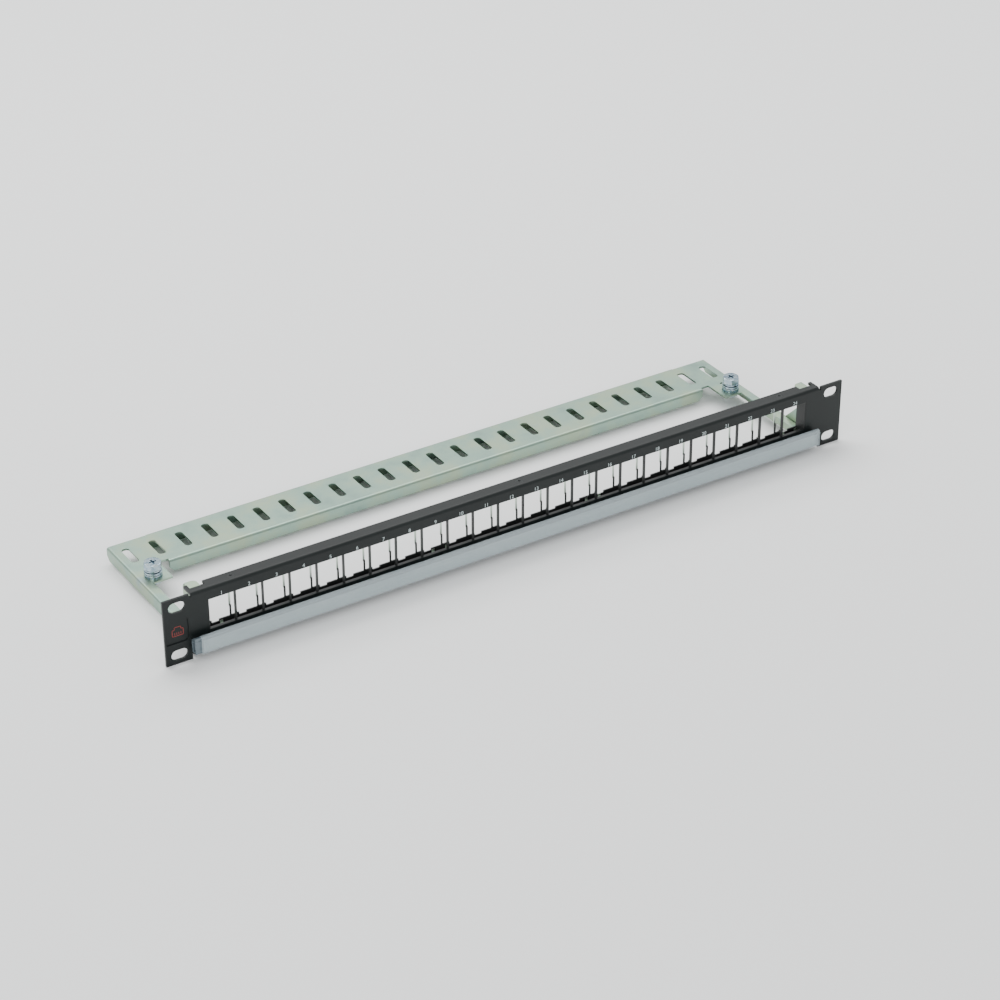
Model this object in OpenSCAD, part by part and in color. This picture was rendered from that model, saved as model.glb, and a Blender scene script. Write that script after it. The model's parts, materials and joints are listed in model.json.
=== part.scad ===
// Nineteen-inch patch panel, one rack unit high: a folded steel front with twenty-four open jack
// bays, three moulded jack frames, an earthing comb, a folded cable tray with two earth bolts, and
// a label strip under a hinged clear cover.
// Frame: +X right seen from the front, +Y to the rear, +Z up. The origin is the centre of the four
// ear slots on the rear face of the ears. Every module works in panel terms, x from the centre line,
// y from the front face and z from the bottom edge, and place() carries it into that frame.

/* [Front panel] */
// Width over the ears
panel_w = 482.6; // [481:0.1:484]
// Height of the panel
panel_h = 43.66; // [43:0.01:44.4]
// Thickness of the panel sheet
panel_t = 1.6; // [1.2:0.1:2]
// Length of an ear slot, end to end
slot_len = 10.6; // [9:0.1:12]
// Height of an ear slot
slot_high = 6.8; // [6:0.1:7.6]
// Distance between the slot centres, across
slot_span_x = 465.1; // [464:0.1:466]
// Distance between the slot centres, up
slot_span_z = 31.75; // [31:0.05:32.5]
// Margin of the folded middle beyond the jack window, each side
fold_margin = 10.3; // [9.5:0.1:11]
// Depth of the top flange from the front face
flange_deep = 9.3; // [9.2:0.1:11]
// Depth of the bottom flange from the front face
foot_deep = 6; // [5:0.1:7]
// Step of the middle's bottom edge above the ears' bottom edge
foot_rise = 1.8; // [1.2:0.1:2.4]
// Outer radius of the folds
fold_r = 2.1; // [2:0.1:2.6]
// Width of the relief cut between a flange and an ear
relief_w = 1.2; // [0.8:0.1:1.6]
// Width of the badge recess in the left ear
badge_w = 14.4; // [12:0.1:15]
// Height of the badge recess
badge_h = 16; // [14:0.1:17]
// Depth of the badge recess
badge_deep = 0.7; // [0.4:0.1:0.9]

/* [Jack bays] */
// Distance between neighbouring bays
pitch = 17.75; // [17.5:0.05:17.9]
// Height of the window
window_h = 20; // [19:0.1:20.6]
// Height of the window's lower edge over the panel's bottom edge
window_low = 16.1; // [15.8:0.1:16.5]
// Thickness of the fins between the bays
fin_t = 0.6; // [0.5:0.1:1]
// Depth of the fins from the front face
fin_deep = 2.4; // [2.3:0.1:3]
// Width of a post at the rear of the bays
post_w = 0.9; // [0.8:0.1:1.2]
// Height of the posts over the panel's bottom edge
post_top = 22.3; // [20:0.1:26]
// Depth of the jack frame from the front face
frame_deep = 8.6; // [8.4:0.1:9]
// Thickness of the frame's walls
frame_wall = 0.9; // [0.8:0.1:1.2]
// Height of the bay floor over the panel's bottom edge
floor_z = 12.2; // [11:0.1:12.6]
// Thickness of the bay floor
floor_t = 1.4; // [1:0.1:1.8]
// Running gap between pieces that only sit side by side
gap = 0.1; // [0.05:0.01:0.15]

/* [Earth comb] */
// Thickness of the comb's spring sheet
comb_t = 0.4; // [0.3:0.05:0.5]
// Width of a tooth
tooth_w = 1.2; // [0.8:0.1:1.4]
// Height of the comb's back over the window's upper edge
comb_back = 4.2; // [3:0.1:4.6]

/* [Cable tray] */
// Thickness of the tray sheet
tray_t = 1.2; // [1:0.1:1.3]
// Height of the tray's top over the panel's bottom edge
tray_z = 10.6; // [9.8:0.1:11]
// Margin of the folded middle beyond the tray, each side
tray_inset = 2.3; // [1.7:0.1:2.5]
// Distance from the front face to the tray's rear face
tray_deep = 121; // [115:0.5:130]
// Distance from the front face to the tray's front lip
lip_y = 86; // [80:0.5:88]
// Distance from the window's end to the front lip's end
lip_inset = 17.5; // [16:0.5:23]
// Distance from the front face to the earth tabs' front edge
tab_y = 69.5; // [66:0.5:71]
// Width of an arm's top strip, with the fold
arm_w = 6.7; // [6:0.1:7]
// Width of an earth tab beyond the arm
tab_w = 12.6; // [12:0.1:14]
// Number of tie slots
tie_slots = 25; // [3:2:25]
// Distance from the tray's side to the middle of the last tie slot
tie_edge = 8.24; // [7:0.01:12]
// Width of a tie slot
tie_w = 5; // [4.5:0.1:6]
// Length of a tie slot
tie_len = 17; // [12:0.5:18]
// Distance from the front face to a tie slot's middle
tie_y = 103.8; // [102:0.1:106]

/* [Earth bolts] */
// Thread size of the earth bolts
bolt_d = 6; // [5:0.5:6]
// Distance of the bolts inwards from the window's ends
bolt_inset = 2; // [1.5:0.1:4]
// Distance of the bolts from the front face
bolt_y = 76.6; // [75:0.1:78]
// Width across the flats of the head
head_af = 10; // [8:0.5:11]
// Height of the head
head_h = 4; // [3:0.1:5]
// Thickness of a plain washer
washer_t = 1.4; // [1.2:0.1:2]
// Diameter of a plain washer
washer_d = 11; // [10.5:0.1:12]
// Thickness of the toothed contact washer
contact_t = 1.2; // [1:0.1:1.8]
// Thickness of the spring washer
spring_t = 1.6; // [1.2:0.1:2]
// Running clearance of the bolt in its clinch nut
thread_gap = 0.05; // [0.03:0.01:0.08]

/* [Label strip] */
// Margin of the folded middle beyond the clear cover, each side
label_inset = 2.3; // [2.3:0.1:8]
// Width of the rail's bare end beside the cover
rail_end = 3.7; // [2:0.1:4]
// Height of the cover's lower edge over the panel's bottom edge
label_low = 4.9; // [4:0.1:5.2]
// Height of the hinge bead's centre over the panel's bottom edge
bead_z = 15.0; // [14.8:0.1:15.2]
// Distance of the hinge bead's centre in front of the panel
bead_y = 4.3; // [4.2:0.1:4.8]
// Radius of the hinge bead
bead_r = 0.8; // [0.7:0.05:0.9]
// Running clearance of the cover on its bead
bead_gap = 0.08; // [0.05:0.01:0.1]
// Thickness of the cover
cover_t = 0.6; // [0.5:0.05:0.8]
// Thickness of the rail's walls
rail_t = 0.8; // [0.6:0.1:1]
// Thickness of the paper card
card_t = 0.25; // [0.15:0.05:0.3]

/* [Hidden] */
$fn = 48;

eps = 0.01;
past = 1;                                   // how far a cutting shape runs past what it cuts
frames = 3;                                 // moulded frames: left, middle and right
frame_bays = 8;
bays = frames * frame_bays;
frame_w = frame_bays * pitch;
window_half = bays * pitch / 2;
window_top = window_low + window_h;
fold_half = window_half + fold_margin;
fold_in = fold_r - panel_t;
rail_top = panel_h - panel_t - 3 * gap;     // top of the jack frames, under the flange
rail_bite = 0.3;                            // rail's lower edge over the window's upper edge
frame_back = frame_deep + gap + eps;        // front face of the comb

tray_half = fold_half - tray_inset;

// Flange notches that show the tray's tabs
notch_lap = 1.5;
notch_in = window_half - notch_lap;
notch_out = tray_half + gap;
notch_y = 5.5;

// Flange screws: one in the middle and one over each end bay's inner boundary
screw_x = window_half - pitch;
screw_y = 5.4;
screw_r = 1.1;
screw_head_r = 2.2;
screw_len = 6;

// Rear wall of a bay: a left step, a low sill and a right step
sill_z = 13.8;
step_z = 15.4;
step_drop = 0.3;
sill_from = 5.3;
sill_to = 10.2;
nib_at = 3.6;
nib_w = 0.7;
nib_h = 0.8;

// Spring clips, in four pairs, each hooked through a hole in the floor
clip_w = 2;
clip_t = 0.4;
clip_apart = 9.6;
clip_rise = 2.2;
clip_hole_y = 4.2;
clip_hole_w = 2.4;
clip_hole_d = 1.6;
clip_inset = 6.6;
clip_bays = 3.1;
clip_xs = [
    for (c = [clip_bays * pitch, window_half - clip_inset], s = [-1, 1], t = [-1, 1])
        s * c + t * clip_apart / 2
];

// Tray: side plates, tabs, lip and feet
side_short = 1.5;                           // side plates end before the rear face
side_low = 2.4;
side_cut = 3;
front_low = foot_rise + panel_t + 0.8;      // clears the bottom flange
foot_clear = 11;
gusset_y = 28.5;
gusset_back = 14.8;
tab_top = panel_h - panel_t - 0.2;
tab_in = window_half + 3 * gap;
inner_drop = 5;
inner_to = 48;
tray_fold = 1.6;
arm_y = 6;
arm_in = tray_half - arm_w;
relief_out = arm_in - tab_w;
lip_half = window_half - lip_inset;
lip_low = 2.6;
lip_relief = 2.6;
rear_half = lip_half - 1;
tab_r = 3;
tie_pitch = 2 * (tray_half - tie_edge) / (tie_slots - 1);
mark_hole_r = 1.4;
mark_hole_y = 86;
tray_foot_in = window_half + 4 * gap;
tray_foot_low = 14;
tray_foot_top = 38;

// Studs and nuts between the tray's feet and the panel
stud_r = 1.25;
stud_len = 4.6;
stud_x = tray_half - tray_t - 3.25;
stud_zs = [18.5, 33.5];
nut_af = 5;
nut_h = 2;
nut_gap = 0.05;

// Earth bolt stack, upwards from the tray
bolt_x = window_half - bolt_inset;
contact_z = tray_z;
washer_z = contact_z + contact_t;
upper_z = washer_z + washer_t;
spring_z = upper_z + washer_t;
head_z = spring_z + spring_t;
bolt_r = bolt_d / 2;
washer_bore = bolt_r + 0.2;
clinch_r = 5;
clinch_h = 2.4;
clinch_shank_r = 4.37;
bolt_tip = 6.4;
spring_inset = 0.3;
spring_cut = 1;
head_edge = 0.1;
contact_inset = 0.5;
tooth_apart = 30;
washer_play = 0.2;
recess_w = 1.3;
recess_len = 5;
recess_deep = 1.8;

// Label strip
label_w = 2 * (fold_half - label_inset);
clasp_in = bead_r + bead_gap;
clasp_out = clasp_in + cover_t;
clasp_from = 45;
clasp_to = 222;
neck_turn = 280;
neck_t = 0.6;
rail_front = bead_y + 0.3;
rail_low = label_low + 0.2;
rail_high = bead_z - clasp_out - 0.12;      // clears the clasp as it turns
card_slack = 0.15;
card_inset = 1.5;
card_low = rail_low + 0.3;
card_high = rail_high - 0.2;
peg_r = 1.5;
peg_z = (rail_low + rail_high) / 2;
peg_beyond = 4.6;                           // last pegs beyond the window's ends
peg_xs = [for (k = [-2:2]) k * (window_half + peg_beyond) / 2];
rim_t = 0.7;
rim_h = 0.35;
rim_apart = 2.6;

module place() translate([0, -panel_t, -panel_h / 2]) children();

module both_sides() {
    children();
    mirror([1, 0, 0]) children();
}

// An outline in Y and Z, drawn along X from x0 over length
module along_x(x0, length) translate([x0, 0, 0]) rotate([90, 0, 90]) linear_extrude(length) children();

// A slot with round ends, along X, cut through Y
module ear_slot() {
    for (s = [-1, 1])
        translate([s * (slot_len - slot_high) / 2, -past, 0])
            rotate([-90, 0, 0]) cylinder(d = slot_high, h = panel_t + 2 * past);
    translate([-(slot_len - slot_high) / 2, -past, -slot_high / 2])
        cube([slot_len - slot_high, panel_t + 2 * past, slot_high]);
}

// A rectangle with round corners
module round_rect(w, h, r) {
    translate([-w / 2 + r, -h / 2]) square([w - 2 * r, h]);
    translate([-w / 2, -h / 2 + r]) square([w, h - 2 * r]);
    for (sx = [-1, 1], sz = [-1, 1])
        translate([sx * (w / 2 - r), sz * (h / 2 - r)]) circle(r);
}

// The folded middle of the panel in Y and Z
module folded_outline() {
    difference() {
        union() {
            translate([0, foot_rise + fold_r])
                square([panel_t, panel_h - foot_rise - 2 * fold_r]);
            translate([fold_r, panel_h - panel_t]) square([flange_deep - fold_r, panel_t]);
            translate([fold_r, foot_rise]) square([foot_deep - fold_r, panel_t]);
            translate([fold_r, panel_h - fold_r]) circle(fold_r);
            translate([fold_r, foot_rise + fold_r]) circle(fold_r);
        }
        translate([fold_r, panel_h - fold_r]) circle(fold_in);
        translate([fold_r, foot_rise + fold_r]) circle(fold_in);
        translate([fold_r + eps, foot_rise + panel_t])
            square([flange_deep, panel_h - foot_rise - 2 * panel_t]);
        translate([panel_t, foot_rise + fold_r])
            square([flange_deep, panel_h - foot_rise - 2 * fold_r]);
    }
}

module badge_recess() {
    r = 3;
    left = -panel_w / 2 + 1;
    translate([left, -eps, (panel_h - badge_h) / 2])
        cube([badge_w - r, badge_deep + eps, badge_h]);
    translate([left + badge_w - r - eps, -eps, (panel_h - badge_h) / 2 + r])
        cube([r + eps, badge_deep + eps, badge_h - 2 * r]);
    for (z = [r, badge_h - r])
        translate([left + badge_w - r, -eps, (panel_h - badge_h) / 2 + z])
            rotate([-90, 0, 0]) cylinder(r = r, h = badge_deep + eps);
}

module front_panel() color([0.13, 0.15, 0.15]) place() {
    difference() {
        union() {
            along_x(-fold_half, 2 * fold_half) folded_outline();
            both_sides() {
                ear_w = panel_w / 2 - fold_half - relief_w;
                translate([fold_half + relief_w, 0, 0]) cube([ear_w, panel_t, panel_h]);
                translate([fold_half - eps, 0, foot_rise + fold_r])
                    cube([relief_w + 2 * eps, panel_t, panel_h - foot_rise - 2 * fold_r]);
            }
        }
        translate([-window_half, -past, window_low])
            cube([2 * window_half, panel_t + 2 * past, window_h]);
        for (sx = [-1, 1], sz = [-1, 1])
            translate([sx * slot_span_x / 2, 0, panel_h / 2 + sz * slot_span_z / 2]) ear_slot();
        badge_recess();
        both_sides() translate([notch_in, notch_y, panel_h - panel_t - past])
            cube([notch_out - notch_in, flange_deep, panel_t + 2 * past]);
        for (x = [-screw_x, 0, screw_x]) translate([x, screw_y, panel_h - panel_t - past]) {
            cylinder(r = screw_r + gap, h = panel_t + 2 * past);
            translate([0, 0, past + panel_t - (screw_head_r - screw_r)])
                cylinder(r1 = screw_r + gap, r2 = screw_head_r + gap, h = screw_head_r - screw_r + eps);
        }
        for (x = peg_xs) translate([x, -past, peg_z])
            rotate([-90, 0, 0]) cylinder(r = peg_r + gap, h = panel_t + 2 * past);
    }
}

// One bay's rear wall, from its left boundary
module bay_sill() {
    y = frame_deep - frame_wall;
    base = floor_z - eps;
    translate([0, y, base]) cube([pitch, frame_wall, sill_z - base]);
    translate([0, y, base]) cube([sill_from, frame_wall, step_z - base]);
    translate([sill_to, y, base]) cube([pitch - sill_to, frame_wall, step_z - step_drop - base]);
    translate([nib_at, y, base]) cube([nib_w, frame_wall, step_z + nib_h - base]);
}

// What stands between two bays: a fin in the window and a short post at the rear
module bay_divider(behind) {
    translate([-fin_t / 2, gap, window_low + gap]) cube([fin_t, fin_deep - gap, window_h - 2 * gap]);
    translate([-fin_t / 2, behind, floor_z - eps])
        cube([fin_t, fin_deep - behind, rail_top - 2 - floor_z]);
    translate([-post_w / 2, frame_deep - frame_wall, floor_z - eps])
        cube([post_w, frame_wall, post_top - floor_z + eps]);
}

// A moulded frame of bays; x0 is its left end
module jack_frame(x0) {
    behind = panel_t + gap / 2;
    x1 = x0 + gap / 2;
    w = frame_w - gap;
    difference() {
        union() {
            // top rail, its front edge cut back for the panel's fold
            along_x(x1, w) polygon([
                [behind, window_top + rail_bite], [frame_deep, window_top + rail_bite],
                [frame_deep, rail_top], [behind + fold_in + 0.5, rail_top],
                [behind, rail_top - fold_in - 0.5]
            ]);
            // floor, front skirt and rear sills
            translate([x1, behind, floor_z - floor_t]) cube([w, frame_deep - behind, floor_t]);
            translate([x1, behind, foot_rise + panel_t + fold_in + gap])
                cube([w, frame_wall, window_low - 0.2 - foot_rise - panel_t - fold_in - gap]);
            intersection() {
                for (k = [0:frame_bays]) translate([x0 + k * pitch, 0, 0]) {
                    if (k < frame_bays) bay_sill();
                    bay_divider(behind);
                }
                translate([x1, 0, 0]) cube([w, frame_deep, panel_h]);
            }
            // full wall at each end of the row
            for (s = [-1, 1]) if (abs(x0 + frame_w / 2 + s * (frame_w / 2)) > window_half - gap)
                translate([x0 + frame_w / 2 + s * (frame_w - gap) / 2 - (s + 1) * fin_t / 2, 0, 0]) {
                    translate([0, behind, floor_z - eps])
                        cube([fin_t, frame_deep - behind, rail_top - 2 - floor_z]);
                    translate([0, gap, window_low + gap])
                        cube([fin_t, frame_deep - gap, window_h - 2 * gap]);
                }
        }
        for (x = [-screw_x, 0, screw_x]) translate([x, screw_y, rail_top - screw_len])
            cylinder(r = screw_r + gap / 2, h = screw_len + past);
        for (x = peg_xs) translate([x, 0, peg_z])
            rotate([-90, 0, 0]) cylinder(r = peg_r + 1, h = panel_t + frame_wall + past);
        for (x = clip_xs) translate([x - clip_hole_w / 2, clip_hole_y, floor_z - floor_t - past])
            cube([clip_hole_w, clip_hole_d, floor_t + 2 * past]);
    }
}

module jack_frame_left() color([0.07, 0.08, 0.08]) place() jack_frame(-window_half);
module jack_frame_middle() color([0.07, 0.08, 0.08]) place() jack_frame(-window_half + frame_w);
module jack_frame_right() color([0.07, 0.08, 0.08]) place()
    jack_frame(-window_half + (frames - 1) * frame_w);

// A leaf on the floor, its end turned up at the rear sill, its leg down to the bottom flange
module frame_clips() color([0.7, 0.75, 0.72]) place()
    for (x = clip_xs) translate([x - clip_w / 2, 0, floor_z]) {
        leg_y = clip_hole_y + clip_hole_d - gap - clip_t;
        rear_y = frame_deep - frame_wall - gap;
        leg = floor_z - foot_rise - panel_t - gap;
        translate([0, leg_y, -leg]) cube([clip_w, clip_t, leg + clip_t]);
        translate([0, leg_y, 0]) cube([clip_w, rear_y - leg_y, clip_t]);
        translate([0, rear_y - clip_t, 0]) cube([clip_w, clip_t, clip_rise]);
    }

module flange_screws() color([0.12, 0.13, 0.13]) place()
    for (x = [-screw_x, 0, screw_x]) translate([x, screw_y, 0]) {
        head = screw_head_r - screw_r;
        difference() {
            union() {
                translate([0, 0, rail_top - screw_len + 2 * gap])
                    cylinder(r = screw_r, h = panel_h - rail_top + screw_len - 2 * gap - head + eps);
                translate([0, 0, panel_h - head - gap / 2])
                    cylinder(r1 = screw_r, r2 = screw_head_r, h = head);
            }
            for (turn = [0, 90]) rotate(turn) translate([-1.1, -0.2, panel_h - 0.7])
                cube([2.2, 0.4, past]);
        }
    }

// Comb back under the flange and one tooth behind each row of posts
module earth_comb() color([0.72, 0.78, 0.7]) place() {
    translate([-window_half + 1, frame_back, window_top + rail_bite])
        cube([2 * window_half - 2, comb_t, comb_back]);
    for (k = [1:bays - 1])
        translate([-window_half + k * pitch - tooth_w / 2, frame_back, post_top - 1])
            cube([tooth_w, comb_t, window_top + rail_bite - post_top + 1 + eps]);
}

// Side plate in Y and Z: arm depth at the rear, rising to the tab at the front
module side_outline() {
    front = panel_t + gap / 2;
    top = tab_top - tray_fold;
    polygon([
        [front, front_low], [foot_clear - side_cut, front_low],
        [foot_clear, side_low], [tray_deep - side_short - side_cut, side_low],
        [tray_deep - side_short, side_low + side_cut],
        [tray_deep - side_short, tray_z - tray_fold],
        [gusset_y, tray_z - tray_fold], [gusset_y, tray_z],
        [gusset_back, tray_z + gusset_y - gusset_back], [gusset_back, top], [front, top]
    ]);
}

// Half of the tray's top in X and Y, up to the arm's fold
module tray_plan() {
    polygon([
        [-eps, lip_y + tray_fold], [lip_half, lip_y + tray_fold], [lip_half, lip_y + lip_relief],
        [relief_out, lip_y + lip_relief], [relief_out, tab_y], [arm_in, tab_y],
        [arm_in, arm_y], [tray_half - tray_fold, arm_y],
        [tray_half - tray_fold, tray_deep - side_short], [rear_half, tray_deep - side_short],
        [rear_half, tray_deep - tray_fold], [-eps, tray_deep - tray_fold]
    ]);
}

// A fold of the tray sheet in Y and Z: its top at [0, 0], turning down towards +Y
module fold_outline(drop, r = tray_fold) {
    difference() {
        translate([0, -r]) circle(r);
        translate([0, -r]) circle(r - tray_t);
        translate([-2 * r, -2 * r]) square([2 * r, 3 * r]);
        translate([-r, -3 * r]) square([3 * r, 2 * r]);
    }
    translate([r - tray_t, -drop]) square([tray_t, drop - r]);
}

module tray_half_shape() {
    translate([0, 0, tray_z - tray_t]) linear_extrude(tray_t) tray_plan();
    // front lip, with its lower corner cut off
    lip_drop = tray_z - lip_low;
    difference() {
        translate([0, lip_y + tray_fold, tray_z]) mirror([0, 1, 0])
            along_x(-eps, lip_half + eps) fold_outline(lip_drop);
        translate([lip_half, lip_y - past, lip_low]) rotate([0, 45, 0])
            translate([-2, 0, -4]) cube([4, tray_t + 3 * past, 8]);
    }
    // rear flange, down to the surface the panel stands on
    translate([0, tray_deep - tray_fold, tray_z]) along_x(-eps, rear_half + eps)
        fold_outline(tray_z);
    // arm fold and side plate
    translate([tray_half - tray_fold, gusset_y, tray_z]) rotate([-90, 0, 0])
        mirror([0, 1, 0]) linear_extrude(tray_deep - side_short - gusset_y)
            fold_outline(tray_fold + eps);
    along_x(tray_half - tray_t, tray_t) side_outline();
    // stiffening edge inside the arm's front half
    translate([arm_in, arm_y, tray_z - inner_drop])
        cube([tray_t, inner_to - arm_y, inner_drop - eps]);
    // tab under the panel's flange
    translate([tray_half - tray_fold, panel_t + fold_r, tab_top]) rotate([-90, 0, 0])
        mirror([0, 1, 0]) linear_extrude(gusset_back - panel_t - fold_r)
            fold_outline(tray_fold + eps);
    translate([0, 0, tab_top - tray_t]) linear_extrude(tray_t) difference() {
        translate([tab_in, panel_t + fold_r])
            square([tray_half - tray_fold - tab_in + eps, gusset_back - panel_t - fold_r]);
        difference() {
            translate([tab_in - eps, gusset_back - tab_r]) square([tab_r, tab_r + eps]);
            translate([tab_in + tab_r, gusset_back - tab_r]) circle(tab_r);
        }
    }
    // foot behind the panel, for the studs
    translate([tray_foot_in, panel_t + gap / 2, tray_foot_low])
        cube([tray_half - eps - tray_foot_in, tray_t, tray_foot_top - tray_foot_low]);
}

module cable_tray() color([0.62, 0.72, 0.66]) place() difference() {
    union() both_sides() tray_half_shape();
    for (k = [-(tie_slots - 1) / 2:(tie_slots - 1) / 2])
        translate([k * tie_pitch, tie_y, tray_z - tray_t - past])
            linear_extrude(tray_t + 2 * past) round_rect(tie_w, tie_len, tie_w / 2 - 0.5);
    both_sides() {
        translate([bolt_x, bolt_y, tray_z - tray_t - past])
            cylinder(r = clinch_shank_r + eps, h = tray_t + 2 * past);
        translate([bolt_x, mark_hole_y, tray_z - tray_t - past])
            cylinder(r = mark_hole_r, h = tray_t + 2 * past);
        for (z = stud_zs) translate([stud_x, 0, z])
            rotate([-90, 0, 0]) cylinder(r = stud_r + gap, h = foot_clear);
    }
}

module tray_studs() color([0.6, 0.62, 0.6]) place() both_sides()
    for (z = stud_zs) translate([stud_x, panel_t, z])
        rotate([-90, 0, 0]) cylinder(r = stud_r, h = stud_len);

module tray_nuts() color([0.75, 0.78, 0.76]) place() both_sides()
    for (z = stud_zs) translate([stud_x, panel_t + gap / 2 + tray_t, z])
        rotate([-90, 0, 0]) difference() {
            cylinder(d = nut_af / cos(30), h = nut_h, $fn = 6);
            translate([0, 0, -past]) cylinder(r = stud_r + nut_gap, h = nut_h + 2 * past);
        }

module label_rail() color([0.45, 0.5, 0.53]) place() {
    left = -label_w / 2 - rail_end;
    length = label_w + rail_end;
    difference() {
        translate([left, -rail_front, rail_low])
            cube([length, rail_front, rail_high - rail_low]);
        translate([left - past, -rail_front + rail_t, rail_low + rail_t])
            cube([length + 2 * past, rail_front - 2 * rail_t, rail_high - rail_low - 2 * rail_t]);
    }
    translate([left, -bead_y, bead_z]) rotate([0, 90, 0]) cylinder(r = bead_r, h = length);
    along_x(left, length) translate([-bead_y, bead_z]) rotate(neck_turn)
        translate([0, -neck_t / 2]) square([bead_z - rail_high + 0.3, neck_t]);
    // lip under the card
    translate([-label_w / 2, -rail_front - card_t - card_slack, rail_low])
        cube([label_w, card_t + card_slack + eps, card_low - rail_low]);
    for (x = peg_xs) translate([x, -eps, peg_z]) rotate([-90, 0, 0]) {
        cylinder(r = peg_r, h = panel_t + 0.1);
        translate([0, 0, panel_t + eps]) cylinder(r1 = peg_r + 0.5, r2 = peg_r, h = 0.8);
    }
}

module label_card() color([0.78, 0.82, 0.82]) place()
    translate([-label_w / 2 + card_inset, -rail_front - card_t, card_low])
        cube([label_w - 2 * card_inset, card_t, card_high - card_low]);

// Clear cover: a clasp round the bead and a plate hanging in front of the card
module label_cover() color([0.8, 0.87, 0.9, 0.5]) place() {
    front = -bead_y - clasp_out;
    along_x(-label_w / 2, label_w) {
        translate([-bead_y, bead_z]) difference() {
            circle(clasp_out);
            circle(clasp_in);
            polygon([
                [0, 0], 3 * [cos(clasp_to), sin(clasp_to)], [-3, -4], [4, -4], [4, 0],
                3 * [cos(clasp_from), sin(clasp_from)]
            ]);
        }
        translate([front, label_low]) square([cover_t, bead_z - label_low]);
    }
    for (s = [-1, 1], in = [rim_t / 2, rim_apart + rim_t / 2])
        translate([s * (label_w / 2 - in) - rim_t / 2, front - rim_h, label_low]) cube([rim_t, rim_h + eps, bead_z - label_low]);
}

// Earth bolt and the pieces it clamps; side is -1 on the left and 1 on the right
module at_bolt(side) translate([side * bolt_x, bolt_y, 0]) children();

module ring(outer_r, bore_r, z, h) translate([0, 0, z]) difference() {
    cylinder(r = outer_r, h = h);
    translate([0, 0, -past]) cylinder(r = bore_r, h = h + 2 * past);
}

module earth_bolt(side) color([0.75, 0.8, 0.85]) place() at_bolt(side) {
    difference() {
        intersection() {
            translate([0, 0, head_z]) cylinder(d = head_af / cos(30), h = head_h, $fn = 6);
            translate([0, 0, head_z - eps])
                cylinder(r1 = head_af, r2 = head_af / 2 - head_edge, h = head_h + 2 * eps);
        }
        for (turn = [0, 90]) rotate(turn)
            translate([-recess_len / 2, -recess_w / 2, head_z + head_h - recess_deep])
                cube([recess_len, recess_w, recess_deep + past]);
    }
    translate([0, 0, bolt_tip]) cylinder(r = bolt_r, h = head_z - bolt_tip + eps);
}

module spring_washer(side) color([0.55, 0.6, 0.64]) place() at_bolt(side) difference() {
    ring(washer_d / 2 - spring_inset, washer_bore, spring_z, spring_t);
    rotate(-60) translate([0, -spring_cut / 2, spring_z - past])
        cube([washer_d, spring_cut, spring_t + 2 * past]);
}

module plain_washers(side) color([0.72, 0.77, 0.8]) place() at_bolt(side) {
    ring(washer_d / 2, washer_bore, washer_z, washer_t - washer_play);
    ring(washer_d / 2, washer_bore, upper_z, washer_t);
}

module contact_washer(side) color([0.66, 0.7, 0.72]) place() at_bolt(side) {
    ring(washer_d / 2 - contact_inset, washer_bore, contact_z, contact_t);
    for (turn = [0:tooth_apart:359]) rotate(turn)
        translate([washer_d / 2 - contact_inset - gap, -0.7, contact_z])
            cube([contact_inset + 2 * gap, 1.4, contact_t / 2]);
}

module clinch_nut(side) color([0.7, 0.74, 0.76]) place() at_bolt(side) difference() {
    union() {
        translate([0, 0, tray_z - tray_t - clinch_h]) cylinder(r = clinch_r, h = clinch_h);
        translate([0, 0, tray_z - tray_t - eps])
            cylinder(r = clinch_shank_r, h = tray_t - gap + eps);
    }
    translate([0, 0, tray_z - tray_t - clinch_h - past])
        cylinder(r = bolt_r + thread_gap, h = clinch_h + tray_t + 2 * past);
}

module earth_bolt_left() earth_bolt(-1);
module spring_washer_left() spring_washer(-1);
module plain_washers_left() plain_washers(-1);
module contact_washer_left() contact_washer(-1);
module clinch_nut_left() clinch_nut(-1);
module earth_bolt_right() earth_bolt(1);
module spring_washer_right() spring_washer(1);
module plain_washers_right() plain_washers(1);
module contact_washer_right() contact_washer(1);
module clinch_nut_right() clinch_nut(1);

front_panel();
jack_frame_left();
jack_frame_middle();
jack_frame_right();
frame_clips();
flange_screws();
earth_comb();
cable_tray();
tray_studs();
tray_nuts();
label_rail();
label_card();
label_cover();
earth_bolt_left();
spring_washer_left();
plain_washers_left();
contact_washer_left();
clinch_nut_left();
earth_bolt_right();
spring_washer_right();
plain_washers_right();
contact_washer_right();
clinch_nut_right();
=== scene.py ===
import json
import math

import bmesh
import bpy
from mathutils import Euler, Matrix, Vector


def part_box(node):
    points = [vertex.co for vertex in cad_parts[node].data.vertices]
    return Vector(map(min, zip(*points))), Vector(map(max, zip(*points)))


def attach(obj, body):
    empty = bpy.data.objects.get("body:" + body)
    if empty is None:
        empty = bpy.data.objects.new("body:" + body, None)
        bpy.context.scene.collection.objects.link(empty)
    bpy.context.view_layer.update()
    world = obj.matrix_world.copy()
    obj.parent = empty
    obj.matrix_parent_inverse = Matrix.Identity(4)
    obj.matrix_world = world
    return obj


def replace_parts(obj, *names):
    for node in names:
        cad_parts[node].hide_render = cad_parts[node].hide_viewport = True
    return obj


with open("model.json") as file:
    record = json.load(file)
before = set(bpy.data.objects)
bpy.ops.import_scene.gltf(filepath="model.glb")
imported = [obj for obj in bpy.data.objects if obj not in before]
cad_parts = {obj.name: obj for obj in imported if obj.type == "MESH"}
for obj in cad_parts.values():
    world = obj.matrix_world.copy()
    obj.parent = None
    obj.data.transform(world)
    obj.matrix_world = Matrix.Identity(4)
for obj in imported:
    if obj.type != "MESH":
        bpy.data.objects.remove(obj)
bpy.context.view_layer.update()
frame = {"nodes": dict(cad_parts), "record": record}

bodyNodes = frame["record"]["behaviour"]["bodies"]
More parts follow.
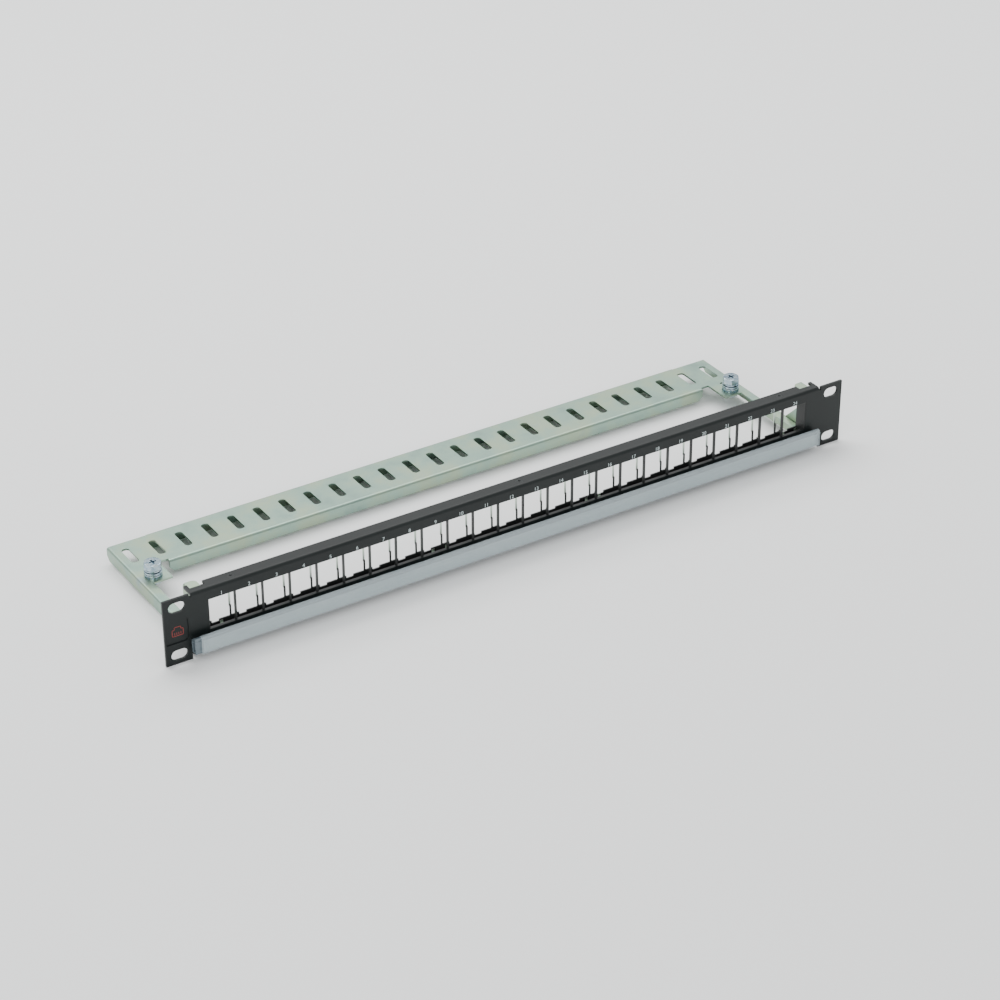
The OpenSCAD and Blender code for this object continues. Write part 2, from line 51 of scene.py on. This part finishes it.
nodeBody = {node: body for body, nodes in bodyNodes.items() for node in nodes}
nodeSlot = {part["node"]: part["material_slot"] for part in frame["record"]["subparts"]}
panelLow = Vector(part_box("front_panel")[0])
mm = 0.001


# One value on its way through a material's nodes, so that sums can be written as plain expressions
class Signal:
    def __init__(self, finish, socket):
        self.finish = finish
        self.socket = socket

    def join(self, operation, first, second):
        return self.finish.add("ShaderNodeMath", {"operation": operation}, {0: first, 1: second})

    def __add__(self, other):
        return self.join("ADD", self, other)

    def __radd__(self, other):
        return self.join("ADD", other, self)

    def __mul__(self, other):
        return self.join("MULTIPLY", self, other)

    def __rmul__(self, other):
        return self.join("MULTIPLY", other, self)


# A material and its Principled shader
class Finish:
    def __init__(self, name, **uniform):
        self.material = bpy.data.materials.new(name)
        self.material.use_nodes = True
        self.tree = self.material.node_tree
        self.shader = self.tree.nodes["Principled BSDF"]
        self.set(**uniform)

    def set(self, **sockets):
        for name, value in sockets.items():
            self.feed(self.shader.inputs[name.replace("_", " ")], value)

    def feed(self, socket, value):
        if isinstance(value, Signal):
            self.tree.links.new(value.socket, socket)
        else:
            socket.default_value = value

    def add(self, kind, settings, inputs, output=0):
        node = self.tree.nodes.new(kind)
        for name, value in settings.items():
            if name == "stops":
                for _ in range(len(value) - 2):
                    node.color_ramp.elements.new(0.5)
                for element, stop in zip(node.color_ramp.elements, value):
                    element.position = stop[0]
                    element.color = (*stop[1], 1)
            else:
                setattr(node, name, value)
        for name, value in inputs.items():
            self.feed(node.inputs[name], value)
        return Signal(self, node.outputs[output])

    def place(self, stretch=(1, 1, 1)):
        coordinates = self.add("ShaderNodeTexCoord", {}, {}, "Object")
        return self.add("ShaderNodeMapping", {}, {"Vector": coordinates, "Scale": stretch})

    def noise(self, scale, detail=3, rough=0.5, stretch=(1, 1, 1)):
        inputs = {"Vector": self.place(stretch), "Scale": scale, "Detail": detail,
                  "Roughness": rough}
        return self.add("ShaderNodeTexNoise", {}, inputs, "Fac")

    def ramp(self, factor, stops):
        return self.add("ShaderNodeValToRGB", {"stops": stops}, {"Fac": factor}, "Color")

    def bump(self, height, strength, distance):
        inputs = {"Height": height, "Strength": strength, "Distance": distance}
        self.set(Normal=self.add("ShaderNodeBump", {}, inputs, "Normal"))


# Every finish ends the same way: a colour from its tints, its roughness and a fine bump
def surface(finish, mix, tints, roughness, relief=None, strength=0, distance=0.02 * mm):
    finish.set(Base_Color=finish.ramp(mix, tints))
    finish.set(Roughness=roughness)
    if relief:
        finish.bump(relief, strength, distance)
    return finish.material


def powderCoat():
    tints = [(0.3, (0.0035, 0.0055, 0.0055)), (0.7, (0.008, 0.0115, 0.011))]
    finish = Finish("powderCoat", Specular_IOR_Level=0.3)
    cloud = finish.noise(scale=35, detail=4)
    grain = finish.noise(scale=2600, detail=2, rough=0.6)
    return surface(finish, cloud * 0.6 + grain * 0.4, tints, 0.34 + grain * 0.12 + cloud * 0.06,
                   grain, strength=0.25, distance=0.03 * mm)


def mouldedPlastic():
    tints = [(0.3, (0.006, 0.007, 0.007)), (0.7, (0.012, 0.0135, 0.0135))]
    finish = Finish("mouldedPlastic")
    spark = finish.noise(scale=4200, detail=2, rough=0.7)
    flow = finish.noise(scale=60, stretch=(0.3, 1, 1))
    return surface(finish, flow, tints, 0.42 + spark * 0.16, spark, strength=0.2)


def zincSheet():
    tints = [(0.30, (0.24, 0.34, 0.30)), (0.46, (0.30, 0.42, 0.35)),
             (0.6, (0.36, 0.44, 0.32)), (0.75, (0.28, 0.37, 0.38))]
    finish = Finish("zincSheet", Metallic=1.0)
    mottle = finish.noise(scale=42, detail=5, rough=0.6)
    rolled = finish.noise(scale=900, rough=0.6, stretch=(0.05, 1, 1))
    frost = finish.noise(scale=1800, detail=2, rough=0.6)
    return surface(finish, mottle * 0.8 + frost * 0.2, tints, 0.27 + rolled * 0.12 + mottle * 0.12,
                   rolled * 0.5 + frost * 0.5, strength=0.16)


def blueZinc():
    tints = [(0.3, (0.22, 0.32, 0.40)), (0.55, (0.42, 0.52, 0.58)), (0.75, (0.5, 0.56, 0.55))]
    finish = Finish("blueZinc", Metallic=1.0)
    sheen = finish.noise(scale=420, rough=0.6)
    turned = finish.noise(scale=3000, detail=2, stretch=(1, 1, 0.2))
    return surface(finish, sheen, tints, 0.16 + turned * 0.14, turned, strength=0.12)


def springSteel():
    tints = [(0.3, (0.52, 0.62, 0.52)), (0.7, (0.70, 0.78, 0.70))]
    finish = Finish("springSteel", Metallic=1.0)
    drawn = finish.noise(scale=1500, rough=0.6, stretch=(1, 1, 0.1))
    return surface(finish, drawn, tints, 0.24 + drawn * 0.14, drawn, strength=0.1)


def blackOxide():
    tints = [(0.3, (0.012, 0.014, 0.014)), (0.7, (0.03, 0.034, 0.034))]
    finish = Finish("blackOxide", Metallic=0.6)
    grain = finish.noise(scale=2500, detail=2)
    return surface(finish, grain, tints, 0.34 + grain * 0.14, grain, strength=0.15)


def smokyPlastic():
    tints = [(0.3, (0.12, 0.155, 0.175)), (0.7, (0.17, 0.21, 0.235))]
    finish = Finish("smokyPlastic", Coat_Weight=0.4, Alpha=0.92)
    drawn = finish.noise(scale=900, detail=2, stretch=(0.02, 1, 1))
    return surface(finish, drawn, tints, 0.16 + drawn * 0.12, drawn, strength=0.1)


def clearPlastic():
    tints = [(0.3, (0.50, 0.58, 0.61)), (0.7, (0.58, 0.66, 0.68))]
    finish = Finish("clearPlastic", Coat_Weight=0.3, IOR=1.5, Alpha=0.34)
    drawn = finish.noise(scale=700, detail=2, stretch=(0.02, 1, 1))
    return surface(finish, drawn, tints, 0.1 + drawn * 0.12, drawn, strength=0.06)


def greyCard():
    tints = [(0.3, (0.36, 0.44, 0.455)), (0.7, (0.44, 0.515, 0.52))]
    finish = Finish("greyCard")
    fibre = finish.noise(scale=1600, detail=4, rough=0.7, stretch=(0.35, 1, 1))
    stain = finish.noise(scale=18, detail=2)
    return surface(finish, fibre * 0.3 + stain * 0.7, tints, 0.7 + fibre * 0.2, fibre, strength=0.1)


def printedInk(name, dark, light):
    finish = Finish(name)
    speckle = finish.noise(scale=5000, detail=2, rough=0.6)
    return surface(finish, speckle, [(0.3, dark), (0.7, light)], 0.45 + speckle * 0.15)


print("materials")
slotLook = {
    "painted_black": powderCoat(), "black_plastic": mouldedPlastic(), "zinc_sheet": zincSheet(),
    "zinc_hardware": blueZinc(), "spring_steel": springSteel(), "smoke_plastic": smokyPlastic(),
    "clear_plastic": clearPlastic(), "grey_card": greyCard(), "black_hardware": blackOxide(),
}
paleInk = printedInk("paleInk", (0.42, 0.50, 0.50), (0.56, 0.62, 0.62))
redInk = printedInk("redInk", (0.20, 0.018, 0.015), (0.30, 0.035, 0.03))


def addPiece(name, mesh, material, body):
    piece = bpy.data.objects.new(name, mesh)
    bpy.context.scene.collection.objects.link(piece)
    mesh.materials.clear()
    mesh.materials.append(material)
    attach(piece, body)
    return piece


# A piece with the finish, body and slot of the node that it stands for or belongs to
def standIn(name, mesh, nodeName):
    slot = nodeSlot[nodeName]
    return addPiece(name, mesh, slotLook[slot], nodeBody[nodeName])


def plainMesh(item):
    graph = bpy.context.evaluated_depsgraph_get()
    return bpy.data.meshes.new_from_object(item.evaluated_get(graph))


def smoothMesh(mesh, degrees=35):
    mesh.polygons.foreach_set("use_smooth", [True] * len(mesh.polygons))
    mesh.set_sharp_from_angle(angle=math.radians(degrees))


cleaning = {"merge": 0.002 * mm, "flat": 1, "corner": 40, "steps": 2}  # angles in degrees


# A CAD node's own shape with its doubled points merged, its flat faces whole and its edges broken
def softened(nodeName, pieceName, edge):
    shape = bmesh.new()
    shape.from_mesh(frame["nodes"][nodeName].data)
    bmesh.ops.remove_doubles(shape, verts=shape.verts, dist=cleaning["merge"])
    bmesh.ops.dissolve_limit(shape, angle_limit=math.radians(cleaning["flat"]), verts=shape.verts,
                             edges=shape.edges)
    mesh = bpy.data.meshes.new(pieceName)
    shape.to_mesh(mesh)
    shape.free()
    mesh.polygons.foreach_set("use_smooth", [True] * len(mesh.polygons))
    piece = standIn(pieceName, mesh, nodeName)
    bevel = piece.modifiers.new("brokenEdges", "BEVEL")
    bevel.width = edge
    bevel.segments = cleaning["steps"]
    bevel.limit_method = "ANGLE"
    bevel.angle_limit = math.radians(cleaning["corner"])
    bevel.use_clamp_overlap = True
    shading = piece.modifiers.new("evenShading", "WEIGHTED_NORMAL")  # broad faces stay flat
    shading.weight = 100
    finished = plainMesh(piece)
    piece.modifiers.clear()
    piece.data = finished
    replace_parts(piece, nodeName)
    return piece


print("sheet metal, mouldings and strip")
edgeWidths = {
    "front_panel": 0.22 * mm, "cable_tray": 0.16 * mm, "jack_frame_left": 0.1 * mm,
    "jack_frame_middle": 0.1 * mm, "jack_frame_right": 0.1 * mm, "label_rail": 0.12 * mm,
    "label_cover": 0.08 * mm, "earth_bolt_left": 0.12 * mm, "earth_bolt_right": 0.12 * mm,
    "plain_washers_left": 0.16 * mm, "plain_washers_right": 0.16 * mm,
    "tray_nuts": 0.12 * mm, "clinch_nut_left": 0.2 * mm, "clinch_nut_right": 0.2 * mm,
}
for nodeName, edge in edgeWidths.items():
    softened(nodeName, nodeName + "_finished", edge)
for nodeName, item in frame["nodes"].items():
    if nodeName not in edgeWidths:
        item.data.materials.clear()
        item.data.materials.append(slotLook[nodeSlot[nodeName]])


# Bay numbers, printed on the face over the window
numbers = {"size": 3.35 * mm, "above": 37.85 * mm, "pitch": 17.75 * mm, "count": 24,
           "thick": 0.03 * mm}


def textMesh(words, size, thick):
    curve = bpy.data.curves.new("letters", "FONT")
    curve.body = words
    curve.size = size
    curve.extrude = thick
    curve.align_x = "CENTER"
    curve.align_y = "CENTER"
    item = bpy.data.objects.new("letters", curve)
    bpy.context.scene.collection.objects.link(item)
    mesh = plainMesh(item)
    bpy.data.objects.remove(item)
    return mesh


def bayNumbers():
    shape = bmesh.new()
    turn = Euler((math.pi / 2, 0, 0)).to_matrix().to_4x4()
    for bay in range(numbers["count"]):
        x = (bay + 0.5 - numbers["count"] / 2) * numbers["pitch"]
        mesh = textMesh(str(bay + 1), numbers["size"], numbers["thick"])
        spot = Vector((x, panelLow.y - numbers["thick"] / 2, panelLow.z + numbers["above"]))
        mesh.transform(Matrix.Translation(spot) @ turn)
        shape.from_mesh(mesh)
        bpy.data.meshes.remove(mesh)
    mesh = bpy.data.meshes.new("bayNumbers")
    shape.to_mesh(mesh)
    shape.free()
    return addPiece("bayNumbers", mesh, paleInk, "panel")


print("bay numbers")
bayNumbers()

# A plain socket outline in the badge recess
badge = {"middle": -232.6 * mm, "above": 21.4 * mm, "width": 7.4 * mm, "height": 6.2 * mm,
         "line": 0.4 * mm, "deep": 0.7 * mm, "thick": 0.04 * mm, "sunk": 0.01 * mm,
         "shoulder": 1.6 * mm, "contacts": 4, "contactStep": 1.3 * mm,
         "contactFrom": 0.9 * mm, "contactTo": 2.5 * mm}


def addBar(shape, low, high):
    corners = [shape.verts.new((x, y, z)) for x in (low[0], high[0])
               for y in (low[1], high[1]) for z in (low[2], high[2])]
    sides = ((0, 1, 3, 2), (4, 6, 7, 5), (0, 4, 5, 1), (2, 3, 7, 6), (0, 2, 6, 4), (1, 5, 7, 3))
    for face in sides:
        shape.faces.new([corners[index] for index in face])


def badgeMark():
    shape = bmesh.new()
    back = panelLow.y + badge["deep"] + badge["sunk"]
    front = back - badge["thick"]
    halfWide = badge["width"] / 2
    step = badge["width"] / 4
    low = badge["above"] - badge["height"] / 2
    high = badge["above"] + badge["height"] / 2
    mid = high - badge["shoulder"]
    line = badge["line"]
    bars = [(-halfWide, low, halfWide, low + line), (-halfWide, low, -halfWide + line, mid),
            (halfWide - line, low, halfWide, mid), (-halfWide, mid - line, -step, mid),
            (step, mid - line, halfWide, mid), (-step - line, mid - line, -step, high),
            (step, mid - line, step + line, high), (-step - line, high - line, step + line, high)]
    for contact in range(badge["contacts"]):
        x = (contact + 0.5 - badge["contacts"] / 2) * badge["contactStep"]
        bars.append((x - line / 2, low + badge["contactFrom"],
                     x + line / 2, low + badge["contactTo"]))
    for x0, z0, x1, z1 in bars:
        addBar(shape, (badge["middle"] + x0, front, panelLow.z + z0),
               (badge["middle"] + x1, back, panelLow.z + z1))
    bmesh.ops.recalc_face_normals(shape, faces=shape.faces)
    mesh = bpy.data.meshes.new("badgeMark")
    shape.to_mesh(mesh)
    shape.free()
    return addPiece("badgeMark", mesh, redInk, "panel")


badgeMark()

# Split spring washers, each one rising turn of square wire; gap and start are in radians
washer = {"steps": 72, "gap": 0.14, "rise": 0.5 * mm, "wall": 2.1 * mm, "corner": 0.2 * mm,
          "start": -1.05}


def springWasher(side):
    nodeName = "spring_washer_" + side
    low, high = (Vector(corner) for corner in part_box(nodeName))
    middle = (low + high) / 2
    outer = (high.x - low.x) / 2
    inner = outer - washer["wall"]
    tall = high.z - low.z - washer["rise"]
    cut = washer["corner"]
    profile = [(inner + cut, 0), (outer - cut, 0), (outer, cut), (outer, tall - cut),
               (outer - cut, tall), (inner + cut, tall), (inner, tall - cut), (inner, cut)]
    shape = bmesh.new()
    rings = []
    for step in range(washer["steps"] + 1):
        share = step / washer["steps"]
        angle = washer["start"] + washer["gap"] / 2 + share * (2 * math.pi - washer["gap"])
        lift = low.z + share * washer["rise"]
        across, along = math.cos(angle), math.sin(angle)
        rings.append([shape.verts.new((middle.x + r * across, middle.y + r * along, lift + z))
                      for r, z in profile])
    for first, second in zip(rings, rings[1:]):
        for corner in range(len(profile)):
            after = (corner + 1) % len(profile)
            shape.faces.new([first[corner], first[after], second[after], second[corner]])
    shape.faces.new(rings[0])
    shape.faces.new(list(reversed(rings[-1])))
    bmesh.ops.recalc_face_normals(shape, faces=shape.faces)
    mesh = bpy.data.meshes.new(nodeName + "_coiled")
    shape.to_mesh(mesh)
    shape.free()
    smoothMesh(mesh)
    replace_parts(standIn(nodeName + "_coiled", mesh, nodeName), nodeName)


print("spring washers")
for side in ("left", "right"):
    springWasher(side)

# Threads, a ridge wound round a shank
thread = {"pitch": 1.0 * mm, "ridge": 0.34 * mm, "clear": 0.5 * mm, "length": 8.4 * mm,
          "radius": 2.72 * mm, "stepsPerTurn": 24, "ridgeSides": 4}


def threadTree():
    tree = bpy.data.node_groups.new("woundThread", "GeometryNodeTree")
    sockets = {"Turns": "Float", "Radius": "Float", "Length": "Float", "Ridge": "Float",
               "Place": "Vector", "Finish": "Material"}
    for name, kind in sockets.items():
        tree.interface.new_socket(name=name, in_out="INPUT", socket_type="NodeSocket" + kind)
    tree.interface.new_socket(name="Geometry", in_out="OUTPUT", socket_type="NodeSocketGeometry")
    kinds = {"given": "NodeGroupInput", "spiral": "GeometryNodeCurveSpiral",
             "round": "GeometryNodeCurvePrimitiveCircle", "sweep": "GeometryNodeCurveToMesh",
             "move": "GeometryNodeTransform", "plain": "GeometryNodeRealizeInstances",
             "paint": "GeometryNodeSetMaterial", "result": "NodeGroupOutput"}
    nodes = {name: tree.nodes.new(kind) for name, kind in kinds.items()}
    nodes["spiral"].inputs["Resolution"].default_value = thread["stepsPerTurn"]
    nodes["round"].inputs["Resolution"].default_value = thread["ridgeSides"]
    nodes["sweep"].inputs["Fill Caps"].default_value = True
    wires = [("given", "Turns", "spiral", "Rotations"),
             ("given", "Radius", "spiral", "Start Radius"),
             ("given", "Radius", "spiral", "End Radius"), ("given", "Length", "spiral", "Height"),
             ("given", "Ridge", "round", "Radius"), ("spiral", "Curve", "sweep", "Curve"),
             ("round", "Curve", "sweep", "Profile Curve"), ("sweep", "Mesh", "move", "Geometry"),
             ("given", "Place", "move", "Translation"), ("move", "Geometry", "plain", "Geometry"),
             ("plain", "Geometry", "paint", "Geometry"), ("given", "Finish", "paint", "Material"),
             ("paint", "Geometry", "result", "Geometry")]
    for source, output, target, entry in wires:
        tree.links.new(nodes[source].outputs[output], nodes[target].inputs[entry])
    return tree


def builtBy(tree, values):
    item = bpy.data.objects.new("workpiece", bpy.data.meshes.new("workpiece"))
    bpy.context.scene.collection.objects.link(item)
    modifier = item.modifiers.new("made", "NODES")
    modifier.node_group = tree
    for entry in tree.interface.items_tree:
        if entry.in_out == "INPUT" and entry.name in values:
            modifier[entry.identifier] = values[entry.name]
    mesh = plainMesh(item)
    bpy.data.objects.remove(item)
    return mesh


def boltThread(tree, side):
    nodeName = "earth_bolt_" + side
    low, high = (Vector(corner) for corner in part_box(nodeName))
    centre = (low + high) / 2
    values = {"Turns": thread["length"] / thread["pitch"], "Radius": thread["radius"],
              "Length": thread["length"], "Ridge": thread["ridge"],
              "Place": (centre.x, centre.y, low.z + thread["clear"]),
              "Finish": slotLook[nodeSlot[nodeName]]}
    mesh = builtBy(tree, values)
    mesh.name = nodeName + "_thread"
    smoothMesh(mesh, 50)
    standIn(nodeName + "_thread", mesh, nodeName)


print("threads")
wound = threadTree()
for side in ("left", "right"):
    boltThread(wound, side)


print("stage, light and camera")
stage = {"floor": 6.0, "floorColour": (0.97, 0.975, 0.97, 1), "sky": (0.97, 0.99, 1.0, 1),
         "skyStrength": 0.95}
floorMesh = bpy.data.meshes.new("floor")
half = stage["floor"] / 2
corners = [(-half, -half), (half, -half), (half, half), (-half, half)]
floorMesh.from_pydata([(x, y, panelLow.z) for x, y in corners], [], [(0, 1, 2, 3)])
floor = bpy.data.objects.new("floor", floorMesh)
bpy.context.scene.collection.objects.link(floor)
floorFinish = Finish("floorFinish", Base_Color=stage["floorColour"], Roughness=0.9,
                     Specular_IOR_Level=0.0)
floorMesh.materials.append(floorFinish.material)

world = bpy.data.worlds.new("studio")
world.use_nodes = True
bpy.context.scene.world = world
world.node_tree.nodes["Background"].inputs["Color"].default_value = stage["sky"]
world.node_tree.nodes["Background"].inputs["Strength"].default_value = stage["skyStrength"]


def softLight(name, spot, aim, size, power):
    light = bpy.data.lights.new(name, "AREA")
    light.shape = "RECTANGLE"
    light.size, light.size_y = size
    light.energy = power
    item = bpy.data.objects.new(name, light)
    item.location = spot
    item.rotation_euler = (Vector(aim) - Vector(spot)).to_track_quat("-Z", "Y").to_euler()
    bpy.context.scene.collection.objects.link(item)


softLight("overhead", spot=(0.2, 0.9, 1.5), aim=(0, 0.05, 0), size=(2.4, 1.2), power=34)
softLight("frontLeft", spot=(-1.5, -1.2, 0.7), aim=(0, 0, 0), size=(1.2, 0.7), power=14)

view = {"spot": (-792.6 * mm, -1229.8 * mm, 892.47 * mm), "down": 31.09, "turn": 32.27,
        "roll": -0.18, "lens": 102.24, "sensor": 36, "reach": 50}  # angles in degrees
camera = bpy.data.objects.new("camera", bpy.data.cameras.new("camera"))
camera.location = view["spot"]
aimed = Euler((math.radians(90 - view["down"]), 0, math.radians(-view["turn"]))).to_matrix()
camera.rotation_euler = (aimed @ Matrix.Rotation(math.radians(view["roll"]), 3, "Z")).to_euler()
camera.data.lens = view["lens"]
camera.data.sensor_width = view["sensor"]
camera.data.clip_end = view["reach"]
bpy.context.scene.collection.objects.link(camera)
bpy.context.scene.camera = camera
